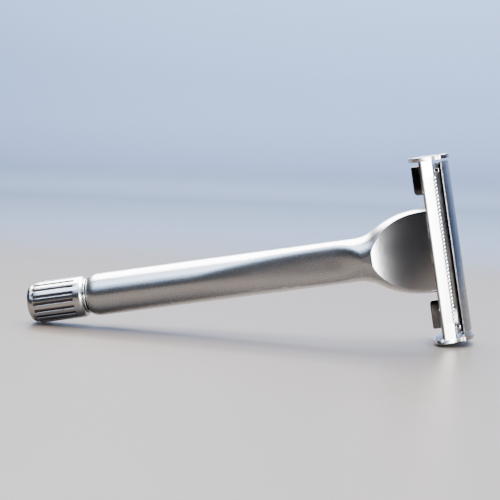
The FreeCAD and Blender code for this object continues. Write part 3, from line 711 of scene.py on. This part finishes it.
def buildHandle(s):
    rings = []
    for i in range(13):
        bend = math.pi / 2 * i / 12
        x = s["start"] + s["rearLength"] * (1 - math.cos(bend))
        rings.append(handleRing(x, s, s["radius"] - s["rearDrop"] * (1 - math.sin(bend))))
    low = rings[-1][0][0]
    for high, steps in s["stretches"] + [(s["end"], s["fanSteps"])]:
        rings += [handleRing(low + (high - low) * i / steps, s) for i in range(1, steps + 1)]
        low = high
    bore = [
        (s["end"], s["boreRadius"]),
        (s["start"] + s["bushDepth"], s["boreRadius"]),
        (s["start"] + s["bushDepth"], s["bushRadius"]),
        (s["start"] + s["seatDepth"], s["bushRadius"]),
        (s["start"] + s["seatDepth"], s["flangeSeat"]),
        (s["start"], s["flangeSeat"]),
    ]
    for x, radius in bore:
        rings.append([(x, -radius * math.sin(a), radius * math.cos(a)) for a in sectionAngles(x, s)])
    points, faces = joinRings(rings, True, True)

    def onFanFace(p):
        return 1.0 if abs(abs(p.y) - faceLimit(p.x, s)) < 0.04 else 0.0

    return addPiece("handle", points, faces, metals["handleSteel"], "handle", "handle_body",
                    50, {"buffed": onFanFace})


handle = buildHandle(handleShape)
print("handle", len(handle.data.polygons), "faces")


# knob: one land and half a flute each side, copied round the axis
knobHigh = spanOf("adjusting_knob")[1]
knobShape = {
    "lands": 18,
    "end": knobHigh.x + 0.2,
    "radius": knobHigh.z,
    "bandRadius": 4.5,
    "bandRound": 1.1,
    "fluteStart": 1.65,
    "fluteEnd": 11.65,
    "fluteDepth": 0.45,
    "fluteHalfAngle": 3.9,
    "shoulderRound": 1.15,
    "sinkRadius": 2.0,
    "sinkDepth": 1.1,
    "screwRadius": 0.82,
    "shaftStart": 4.0,
    "shaftRadius": 1.52,
    "fluteEntry": [  # x past the flute's start, share of the land's height, share of the flute's depth
        (-0.06, 0.0, 0.0),
        (0.0, 0.04, 0.4),
        (0.05, 0.45, 0.9),
        (0.12, 0.72, 1.0),
        (0.24, 0.9, 1.0),
        (0.45, 1.0, 1.0),
    ],
    "fluteExit": [(-0.14, 0.0), (-0.05, 0.06), (-0.01, 0.35), (0.02, 0.75), (0.08, 0.95), (0.18, 1.0)],
    "cheekProfile": [  # degrees from the land's edge, share of the land's height
        (-1.3, 1),
        (-0.7, 0.985),
        (-0.3, 0.9),
        (-0.1, 0.62),
        (0.02, 0.25),
        (0.16, 0.05),
        (0.6, 0),
    ],
}


def buildKnob(s):
    floor = s["radius"] - s["fluteDepth"]
    screw, shaft, sink = s["screwRadius"], s["shaftRadius"], s["sinkRadius"]
    # each station is x, radius over a land, radius in a flute
    stations = [(s["sinkDepth"], screw, screw)]
    stations += [(0.06, sink - 0.05, sink - 0.05), (0.0, sink + 0.06, sink + 0.06)]
    flat = s["bandRadius"] - s["bandRound"]
    for i in range(11):
        bend = math.pi / 2 * i / 10
        x = s["bandRound"] * (1 - math.cos(bend))
        radius = flat + s["bandRound"] * math.sin(bend)
        stations.append((x, radius, radius))
    start = s["fluteStart"]
    for off, land, drop in s["fluteEntry"]:
        over = s["bandRadius"] + (s["radius"] - s["bandRadius"]) * land
        stations.append((start + off, over, s["bandRadius"] + (floor - s["bandRadius"]) * drop))
    for i in range(1, 6):
        stations.append((start + 0.45 + (s["fluteEnd"] - start - 0.7) * i / 6, s["radius"], floor))
    for off, filled in s["fluteExit"]:
        stations.append((s["fluteEnd"] + off, s["radius"], floor + s["fluteDepth"] * filled))
    for i in range(9):
        bend = math.pi / 2 * i / 8
        x = s["end"] - s["shoulderRound"] * (1 - math.sin(bend))
        radius = s["radius"] - s["shoulderRound"] * (1 - math.cos(bend))
        stations.append((x, radius, radius))
    for x, radius in ((s["end"], shaft), (s["shaftStart"], shaft), (s["shaftStart"], screw)):
        stations.append((x, radius, radius))
    wall = s["fluteHalfAngle"]
    half = 180.0 / s["lands"]
    cheek = half - wall
    # degrees from the middle of the land, and how much of the land's height is there
    steps = [(0, 1), (cheek * 0.45, 1)]
    steps += [(cheek + off, height) for off, height in s["cheekProfile"]]
    steps += [(half - wall * 0.4, 0), (half, 0)]
    across = [(-a, h) for a, h in steps[:0:-1]] + steps
    rings = []
    for x, over, under in stations:
        ring = []
        for degrees, height in across:
            radius = under + (over - under) * height
            turn = math.radians(degrees)
            ring.append((x, -radius * math.sin(turn), radius * math.cos(turn)))
        rings.append(ring)
    points, faces = joinRings(rings, False, True)
    step = 2 * math.pi / s["lands"]
    mesh = repeated(points, faces, ringTree, s["lands"], step, metals["knobSteel"])

    def fluteDepthAt(p):
        if not s["fluteStart"] + 0.1 < p.x < s["fluteEnd"] + 0.05:
            return 0.0
        return (s["radius"] - math.hypot(p.y, p.z) - 0.1) / (s["fluteDepth"] * 0.6)

    # painted shade, deepest on the floors of the flutes
    markShare(mesh, "paintedGrooveShade", fluteDepthAt)
    return finishPiece("knob", mesh, metals["knobSteel"], "knob", "adjusting_knob", 42)


knob = buildKnob(knobShape)
print("knob", len(knob.data.polygons), "faces")


# washers between knob and handle
washerShape = {
    "bore": 1.58,
    "friction": (knobShape["end"], knobShape["end"] + 0.1, 3.7),
    "thrust": (knobShape["end"] + 0.1, knobShape["end"] + 0.42, 4.3),
    "frictionRound": 0.03,
    "thrustRound": 0.1,
}


def washerPiece(name, node, span, edgeRound, material, bore):
    left, right, radius = span
    corners = [(left, bore), (left, radius), (right, radius), (right, bore)]
    outline = roundCorners(corners, [0.02, edgeRound, edgeRound, 0.02], 4)
    return lathePiece(name, outline, 96, material, "handle", node)


washerPiece("thrustWasher", "thrust_washer", washerShape["thrust"], washerShape["thrustRound"],
            metals["brightSteel"], washerShape["bore"])
washerPiece("frictionWasher", "friction_washer", washerShape["friction"], washerShape["frictionRound"],
            fibreBlack, washerShape["bore"])
print("washers ready")


# guard bar with its comb; its front leans back towards the blade
guardLow, guardHigh = spanOf("guard_bar")
guardShape = {
    "left": guardLow.x,
    "front": guardLow.y,
    "back": guardHigh.y,
    "half": guardHigh.z,
    "plainRight": 99.0,
    "combRight": guardHigh.x,
    "combHalf": 16.6,
    "leftRound": 0.22,
    "plainRound": 0.3,
    "combRound": 0.72,
    "valley": 0.50,
    "pitch": 0.83,
    "ribs": 40,
    "ribHalf": 0.21,
    # share of the rib's width, share of its height
    "ribProfile": [(-1.0, -0.25), (-0.86, 0.42), (-0.5, 0.88), (0.0, 1.0)],
    "slant": math.radians(35),
    "frontLean": math.tan(math.radians(20)),
}


def guardFront(x, s):
    # depth of the leaning front face at x
    return s["front"] + (x - s["left"]) * s["frontLean"]


def combCentre(s):
    # centre of the rounded edge, whose arc starts level with the leaning front
    lean = math.atan(s["frontLean"])
    start = s["combRight"] - s["combRound"] * (1 + math.sin(lean))
    depth = guardFront(start, s) + math.cos(lean) * s["combRound"]
    return Vector((s["combRight"] - s["combRound"], depth))


def combArc(s, lift, steps=10):
    # across the rounded edge: lift 0 is the floor of the comb, 1 is the crest of a rib
    lean = math.atan(s["frontLean"])
    path = []
    for i in range(steps + 1):
        bend = lean + (math.pi / 2 - lean) * i / steps
        outward = Vector((math.sin(bend), -math.cos(bend)))
        sink = s["valley"] * min(3 * i / steps, 1.0) * (1 - lift)
        path.append(combCentre(s) + outward * (s["combRound"] - sink))
    path.append(Vector((path[-1].x, s["back"])))
    return path


# depth into the comb's valleys, the mask of the painted shade there
def grooveDepthAt(p, s=guardShape):
    centre = combCentre(s)
    if abs(p.z) > s["combHalf"] + 0.005 or p.x < centre.x - 0.1 or p.y > centre.y + 0.2:
        return 0.0
    return (s["combRound"] - (p.xy - centre).length - 0.06) / (s["valley"] * 0.6)


def buildGuard(s):
    def onFront(x):
        return (x, guardFront(x, s))

    leftBack, rightBack = (s["left"], s["back"]), (s["plainRight"], s["back"])
    leftCorners = [leftBack, (s["left"], s["front"]), onFront(s["left"] + 1)]
    rightCorners = [onFront(s["left"] + 1), onFront(s["plainRight"]), rightBack]
    leftFront = [leftBack] + roundCorners(leftCorners, [0, s["leftRound"], 0], 6)[1:-1]
    leftFront.append(onFront(s["left"] + 2 * s["leftRound"]))
    plain = leftFront + [onFront(s["plainRight"] - 2 * s["plainRound"])]
    plain += roundCorners(rightCorners, [0, s["plainRound"], 0], 10)[1:-1] + [rightBack]
    arc = [tuple(p) for p in combArc(s, 0.0)]
    combed = leftFront + [onFront(arc[0][0] - 0.06)] + arc
    step = 0.01
    levels = [(-s["half"], plain), (-s["combHalf"] - step, plain), (-s["combHalf"], combed),
              (s["combHalf"], combed), (s["combHalf"] + step, plain), (s["half"], plain)]
    rings = [[(x, y, z) for x, y in outline] for z, outline in levels]
    points, faces = joinRings(rings)
    count = len(plain)
    faces += [tuple(range(count)), tuple(range(len(points) - count, len(points)))]
    return addPiece("guardBar", points, faces, metals["guardSteelPaintedHighlight"], "handle", "guard_bar",
                    30, {"paintedGrooveShade": grooveDepthAt})


def buildComb(s):
    # one slanted rib over the rounded edge, copied in a row up the head
    crest, floor = combArc(s, 1.0, 8), combArc(s, 0.0, 8)
    rise = math.tan(s["slant"]) * s["combRound"]
    first = -(s["ribs"] - 1) / 2 * s["pitch"]
    across = [(side, height) for side, height in s["ribProfile"]]
    across += [(-side, height) for side, height in s["ribProfile"][-2::-1]]
    middle = Vector((s["combRight"] - s["combRound"], (crest[0].y + crest[-1].y) / 2))
    rings = []
    for i, (high, low) in enumerate(zip(crest, floor)):
        lift = rise * (min(i, 8) / 8 - 0.5)
        ring = []
        for side, height in across:
            p = low + (high - low) * height
            if height < 0:
                p = low + (middle - low) * 0.15
            ring.append((p.x, p.y, first + lift + side * s["ribHalf"]))
        rings.append(ring)
    points, faces = joinRings(rings)
    faces += [tuple(range(len(across))), tuple(range(len(points) - len(across), len(points)))]
    mesh = repeated(points, faces, rowTree, s["ribs"], s["pitch"], metals["guardSteelPaintedHighlight"])
    markShare(mesh, "paintedGrooveShade", grooveDepthAt)
    return finishPiece("guardComb", mesh, metals["guardSteelPaintedHighlight"], "handle", None, 60)


guardBar = buildGuard(guardShape)
guardComb = buildComb(guardShape)
print("guard", len(guardBar.data.polygons), "comb", len(guardComb.data.polygons), "faces")


# cap: a convex bar with a bright nose beside the edge
capLow, capHigh = spanOf("cap")
capShape = {
    "under": capLow.x,
    "crown": capHigh.x,
    "crownDepth": 3.2,
    "frontBelly": (101.65, -0.75),  # points that the long arcs pass through
    "backBelly": (102.2, 5.6),
    "backDrop": 0.6,
    "heelX": 101.2,
    "nose": capLow.y,
    "noseFace": 0.22,
    "noseRelief": 0.42,
    "reliefLength": 1.4,
    "back": capHigh.y,
    "half": capHigh.z,
    "endRound": 0.22,
}


def buildCap(s):
    noseRoot = (s["under"], s["nose"] + s["reliefLength"])
    noseLow = (s["under"] + s["noseRelief"], s["nose"] + 0.12)
    noseHigh = (s["under"] + s["noseRelief"] + s["noseFace"], s["nose"])
    crown = (s["crown"], s["crownDepth"])
    backTop = (s["crown"] - s["backDrop"], s["back"] - 0.5)
    heel = (s["heelX"], s["back"] - 0.1)
    outline = [noseRoot, noseLow] + arcThrough(noseHigh, s["frontBelly"], crown, 26)
    outline += arcThrough(crown, s["backBelly"], backTop, 14)[1:]
    outline += arcThrough(backTop, heel, (s["under"] + 0.1, s["back"]), 8)[1:]
    outline += [(s["under"], s["back"] - 0.1)]
    return prismPiece("cap", outline, -s["half"], s["half"], s["endRound"], metals["capSteelPaintedReflection"],
                      "carriage", "cap", 32)


cap = buildCap(capShape)
print("cap", len(cap.data.polygons), "faces")


# blade: ground and honed facets along one edge
bladeLow, bladeHigh = spanOf("blade")
bladeShape = {
    "low": bladeLow.x,
    "high": bladeHigh.x,
    "edge": bladeLow.y,
    "spine": bladeHigh.y,
    "half": bladeHigh.z,
    "honed": 0.28,
    "ground": 0.8,
    "clip": 0.8,
}


def buildBlade(s):
    middle = (s["low"] + s["high"]) / 2
    thick = (s["high"] - s["low"]) / 2
    rows = [(0.0, 0.01, 0.0), (s["honed"], 0.45, 0.0), (s["ground"], 1.0, 0.0)]
    width = s["spine"] - s["edge"]
    rows += [(width - s["clip"], 1.0, 0.0), (width, 1.0, s["clip"])]
    rings = []
    for depth, share, clip in rows:
        y, half, reach = s["edge"] + depth, thick * share, s["half"] - clip
        rings.append([(middle - half, y, -reach), (middle + half, y, -reach), (middle + half, y, reach),
                      (middle - half, y, reach)])
    points, faces = joinRings(rings)
    faces += [(0, 1, 2, 3), tuple(range(len(points) - 4, len(points)))]
    return addPiece("blade", points, faces, metals["bladeSteelPaintedShade"], "blade", "blade", 3)


buildBlade(bladeShape)


# return springs: short coils in place of the plain sleeves
springShape = {"turns": 3.5, "wire": 0.16, "sides": 8, "steps": 24}


def buildSprings(s):
    low, high = spanOf("return_springs")
    outer = (high.y - low.y) / 2
    coil = outer - s["wire"]
    middleY = (low.y + high.y) / 2
    points, faces = [], []
    for centreZ in (low.z + outer, high.z - outer):
        rings = []
        total = int(s["turns"] * s["steps"])
        for i in range(total + 1):
            share = i / total
            turn = 2 * math.pi * s["turns"] * share
            x = low.x + s["wire"] + (high.x - low.x - 2 * s["wire"]) * share
            ring = []
            for j in range(s["sides"]):
                bend = 2 * math.pi * j / s["sides"]
                reach = coil + s["wire"] * math.cos(bend)
                ring.append((x + s["wire"] * math.sin(bend), middleY - reach * math.sin(turn),
                             centreZ + reach * math.cos(turn)))
            rings.append(ring)
        newPoints, newFaces = joinRings(rings)
        newFaces += [tuple(range(s["sides"])), tuple(range(len(newPoints) - s["sides"], len(newPoints)))]
        faces += [tuple(i + len(points) for i in face) for face in newFaces]
        points += newPoints
    return addPiece("returnSprings", points, faces, metals["springSteel"], "carriage",
                    "return_springs")


buildSprings(springShape)
print("blade and springs ready")


# machined parts whose edges are only broken
# node, piece, bevel width in millimetres, finish, body, slot
softenedParts = [
    ("base_plate", "basePlate", 0.06, "headSteelPaintedShade", "handle", "head_steel"),
    ("blade_bed", "bladeBed", 0.05, "headSteelPaintedShade", "carriage", "head_steel"),
    ("blade_stop_upper", "bladeStopUpper", 0.05, "brightSteel", "carriage", "bright_steel"),
    ("blade_stop_lower", "bladeStopLower", 0.05, "brightSteel", "carriage", "bright_steel"),
]
for node, name, width, finish, body, slotName in softenedParts:
    softened(node, name, width, metals[finish], body)
    print("softened", name)


# end plates: their flat front leans back like the guard's
plateShape = {"leanFrom": 96.3, "leanDepth": -3.4, "fade": 1.2}


def leanFront(work, s):
    for vert in work.verts:
        share = min(max((s["leanDepth"] - vert.co.y) / s["fade"], 0.0), 1.0)
        off = min(max(vert.co.x - s["leanFrom"], 0.0), 2.5)
        vert.co.y += share * off * guardShape["frontLean"]


def buildEndPlate(node, name, s):
    mesh = frame["nodes"][node].data.copy()
    mesh.name = name
    work = bmesh.new()
    work.from_mesh(mesh)
    bmesh.ops.transform(work, matrix=rowToRazor, verts=work.verts)
    bmesh.ops.remove_doubles(work, verts=work.verts, dist=1e-4)
    leanFront(work, s)
    work.to_mesh(mesh)
    work.free()
    return finishPiece(name, mesh, metals["plateSteelPaintedShade"], "handle", node, 30)


for node, name in (("end_plate_upper", "endPlateUpper"), ("end_plate_lower", "endPlateLower")):
    buildEndPlate(node, name, plateShape)
print("end plates ready")


# rear flange: a wall behind the base whose ends stand out as rounded tabs
flangeLow, flangeHigh = spanOf("rear_flange")
flangeShape = {
    "tabLeft": flangeLow.x,
    "wallLeft": 95.9,
    "right": flangeHigh.x,
    "front": flangeLow.y,
    "back": flangeHigh.y,
    "half": flangeHigh.z,
    "tabInner": 12.3,
    "outerRound": 0.4,
    "innerRound": 1.0,
    "rootRound": 0.3,
    "edgeRound": 0.14,
}


def buildFlange(s):
    corners = [
        ((s["right"], s["half"]), 0.1),
        ((s["tabLeft"], s["half"]), s["outerRound"]),
        ((s["tabLeft"], s["tabInner"]), s["innerRound"]),
        ((s["wallLeft"], s["tabInner"]), s["rootRound"]),
        ((s["wallLeft"], -s["tabInner"]), s["rootRound"]),
        ((s["tabLeft"], -s["tabInner"]), s["innerRound"]),
        ((s["tabLeft"], -s["half"]), s["outerRound"]),
        ((s["right"], -s["half"]), 0.1),
    ]
    outline = roundCorners([c for c, _ in corners], [r for _, r in corners], 9)
    edge = s["edgeRound"]
    levels = [(s["front"], edge), (s["front"] + edge * 0.3, edge * 0.3), (s["front"] + edge, 0.0)]
    levels += [(s["back"] - edge, 0.0), (s["back"] - edge * 0.3, edge * 0.3), (s["back"], edge)]
    rings = [[(x, y, z) for x, z in insetOutline(outline, depth)] for y, depth in levels]
    points, faces = joinRings(rings)
    count = len(outline)
    faces += [tuple(range(count)), tuple(range(len(points) - count, len(points)))]
    return addPiece("rearFlange", points, faces, metals["tabSteelPaintedShade"], "handle", "rear_flange",
                    32)


buildFlange(flangeShape)
print("rear flange ready")


# carried-over parts keep their shape and get a finish
finishes = {
    "rear_bush": metals["bushBronze"],
    "front_bush": metals["bushBronze"],
    "shaft_seal": sealRubber,
    "knob_screw": metals["screwSteel"],
    "adjuster_shaft": metals["brightSteel"],
    "shaft_clip": metals["springSteel"],
    "guard_pins": metals["brightSteel"],
    "flange_screws": metals["screwSteel"],
    "neck_screws": metals["screwSteel"],
    "neck_dowels": metals["brightSteel"],
    "plate_screws": metals["screwSteel"],
    "guide_pins": metals["brightSteel"],
    "blade_spring": metals["springSteel"],
    "spring_rivets": metals["brightSteel"],
    "cap_pins": metals["brightSteel"],
}
for node, material in finishes.items():
    mesh = frame["nodes"][node].data
    mesh.materials.clear()
    mesh.materials.append(material)
print("carried-over parts finished:", len(finishes))


# floor, light and camera
stageShape = {
    "left": -1.3,
    "right": 1.3,
    "near": -0.17,
    "bend": 0.9,
    "bendRadius": 0.5,
    "top": 1.6,
    "warm": (0.064, 0.051, 0.041),
    "coolNear": (0.055, 0.074, 0.110),
    # painted light: the far colour is much paler so that the sheet stays bright where the lamps' light
    # falls off, while the nearer sheet under the back box stays darker
    "coolFarPaintedLight": (0.30, 0.385, 0.57),
    "nearFade": (0.13, 0.26),  # metres back from the razor between which the colour changes
    "farPaintedLightFade": (0.50, 1.10),
    "rough": 0.42,
    "gloss": 0.22,
}


def buildStage(s):
    # a pale sheet that runs back and then sweeps up; towards the back its colour turns paler as painted
    # light where the lamps fall off
    profile = [(s["near"], 0.0)]
    for i in range(17):
        bend = math.pi / 2 * i / 16
        back = s["bend"] + s["bendRadius"] * math.sin(bend)
        profile.append((back, s["bendRadius"] * (1 - math.cos(bend))))
    profile.append((s["bend"] + s["bendRadius"], s["top"]))
    points = [(x, y, z) for y, z in profile for x in (s["left"], s["right"])]
    faces = [(2 * i, 2 * i + 1, 2 * i + 3, 2 * i + 2) for i in range(len(profile) - 1)]
    mesh = bpy.data.meshes.new("stageSheet")
    mesh.from_pydata(points, [], faces)
    for face in mesh.polygons:
        face.use_smooth = True
    material, tree, shader = newMaterial("palePaper")
    place = tree.nodes.new("ShaderNodeTexCoord")
    parts = tree.nodes.new("ShaderNodeSeparateXYZ")
    tree.links.new(place.outputs["Object"], parts.inputs[0])
    nearFade = rangeOf(tree, parts.outputs["Y"], s["nearFade"][0], s["nearFade"][1], 0.0, 1.0)
    # painted light: the colour turns paler towards the back where the lamps fall off
    farPaintedLightFade = rangeOf(tree, parts.outputs["Y"], s["farPaintedLightFade"][0], s["farPaintedLightFade"][1], 0.0, 1.0)
    nearColour = mixColours(tree, nearFade, s["warm"], s["coolNear"])
    tree.links.new(mixColours(tree, farPaintedLightFade, nearColour, s["coolFarPaintedLight"]), shader.inputs["Base Color"])
    shader.inputs["Roughness"].default_value = s["rough"]
    shader.inputs["Specular IOR Level"].default_value = s["gloss"]
    mesh.materials.append(material)
    sheet = bpy.data.objects.new("stageSheet", mesh)
    bpy.context.scene.collection.objects.link(sheet)


studioLights = {
    "backBox": {
        "place": (0.05, 0.26, 0.53),
        "aim": (0.0, 0.0, 0.02),
        "size": (1.0, 0.66),
        "power": 56.0,
        "colour": (1.0, 0.99, 0.99),
        "spread": 180,
    },
    "topFill": {
        "place": (0.05, -0.12, 0.50),
        "aim": (0.0, 0.0, 0.02),
        "size": (1.0, 0.30),
        "power": 7.0,
        "colour": (0.64, 0.78, 1.0),
        "spread": 180,
    },
    "frontFill": {
        "place": (0.05, -0.38, 0.42),
        "aim": (0.0, 0.0, 0.02),
        "size": (1.0, 0.26),
        "power": 2.2,
        "colour": (0.55, 0.73, 1.0),
        "spread": 180,
    },
    "rightBox": {
        "place": (0.485, -0.437, 0.14),
        "aim": (0.04, 0.0, 0.03),
        "size": (0.27, 0.26),
        "power": 9.5,
        "colour": (1.0, 0.99, 0.98),
        "spread": 180,
    },
    "wallWash": {  # narrow, so that it misses the floor below it
        "place": (0.0, 0.62, 0.95),
        "aim": (0.0, 1.4, 0.42),
        "size": (1.6, 0.3),
        "power": 21.0,
        "colour": (0.78, 0.88, 1.0),
        "spread": 96,
    },
}
roomGlow = {"colour": (0.05, 0.055, 0.07, 1.0), "strength": 0.6}


def addLight(name, s):
    lamp = bpy.data.lights.new(name, "AREA")
    lamp.shape = "RECTANGLE"
    lamp.size, lamp.size_y = s["size"]
    lamp.energy = s["power"]
    lamp.color = s["colour"]
    lamp.spread = math.radians(s["spread"])
    lightObject = bpy.data.objects.new(name, lamp)
    lightObject.location = s["place"]
    towards = Vector(s["aim"]) - Vector(s["place"])
    lightObject.rotation_euler = towards.to_track_quat("-Z", "Y").to_euler()
    bpy.context.scene.collection.objects.link(lightObject)


buildStage(stageShape)
for name, light in studioLights.items():
    addLight(name, light)
world = bpy.data.worlds.new("studio")
bpy.context.scene.world = world
world.use_nodes = True
glow = world.node_tree.nodes["Background"]
glow.inputs["Color"].default_value = roomGlow["colour"]
glow.inputs["Strength"].default_value = roomGlow["strength"]
print("stage and lights ready:", len(studioLights))

cameraShape = {
    "fromKnobEnd": (110.187, -334.202),  # millimetres along and across the table from the knob's end
    "height": 50.899,
    "yaw": 0.17074,
    "pitch": -0.09218,
    "roll": 0.02779,
    "lens": 105.5256,
}


def buildCamera(s):
    lens = bpy.data.cameras.new("viewpoint")
    lens.lens = s["lens"]
    lens.sensor_width = 36.0
    lens.clip_start = 0.01
    view = bpy.data.objects.new("viewpoint", lens)
    turn = Matrix.Rotation(s["yaw"], 4, "Z") @ Matrix.Rotation(s["pitch"], 4, "X")
    turn = turn @ Matrix.Rotation(-s["roll"], 4, "Y") @ Matrix.Rotation(math.pi / 2, 4, "X")
    along, across = s["fromKnobEnd"]
    place = (knobEnd.x + along * millimetre, knobEnd.y + across * millimetre, s["height"] * millimetre)
    turn.translation = Vector(place)
    view.matrix_world = turn
    bpy.context.scene.collection.objects.link(view)
    bpy.context.scene.camera = view


buildCamera(cameraShape)
